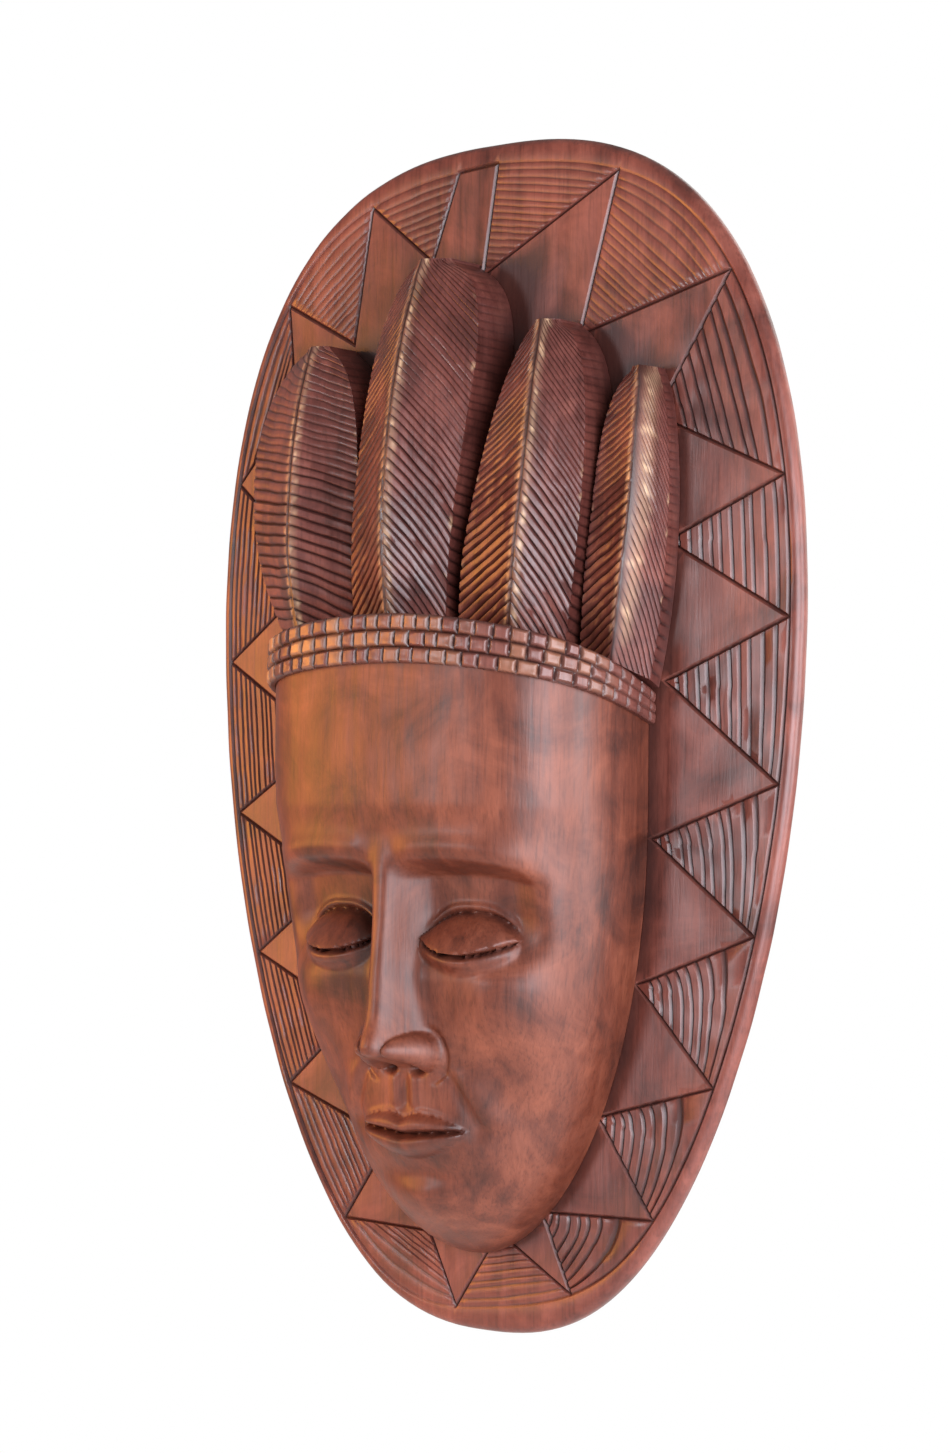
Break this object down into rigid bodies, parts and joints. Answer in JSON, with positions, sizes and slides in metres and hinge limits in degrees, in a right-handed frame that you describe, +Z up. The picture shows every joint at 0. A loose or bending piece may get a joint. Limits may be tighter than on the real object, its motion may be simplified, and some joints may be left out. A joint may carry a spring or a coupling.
{
  "type": "carved wooden wall mask",
  "caption": "Egg-shaped carved wall mask: a hollow face under a checked headband and tall feather plumes on a sunburst backboard, with a swinging ring hanger behind.",
  "frame": {"origin": "where the wall nail bears up under the raised hanging ring, on the plane of the wall", "axes": "+Z up, +Y into the wall, so the face looks along -Y, and +X to the viewer's right"},
  "size_m": [0.3058, 0.0923, 0.5],
  "materials": {
    "board_wood": "red-brown stain with dark cut lines, satin varnish",
    "face_wood": "red-brown stain, polished satin varnish",
    "band_wood": "red-brown stain, worn paler on its raised squares",
    "plume_wood": "dark red-brown stain, chipped to pale wood on its ridges",
    "hanger_steel": "zinc-plated"
  },
  "bodies": {
    "mask": {"backboard": "board_wood", "face": "face_wood", "headband": "band_wood", "plume_outer_left": "plume_wood", "plume_inner_left": "plume_wood", "plume_inner_right": "plume_wood", "plume_outer_right": "plume_wood", "hanger_strap": "hanger_steel", "hanger_screw_1": "hanger_steel", "hanger_screw_2": "hanger_steel"},
    "ring": {"hanger_ring": "hanger_steel"}
  },
  "joints": [
    {"name": "ring_swing", "type": "hinge", "parent": "mask", "child": "ring", "pos_m": [0, -0.0031, -0.0128], "axis": [1, 0, 0], "range_deg": [0, 180]}
  ]
}
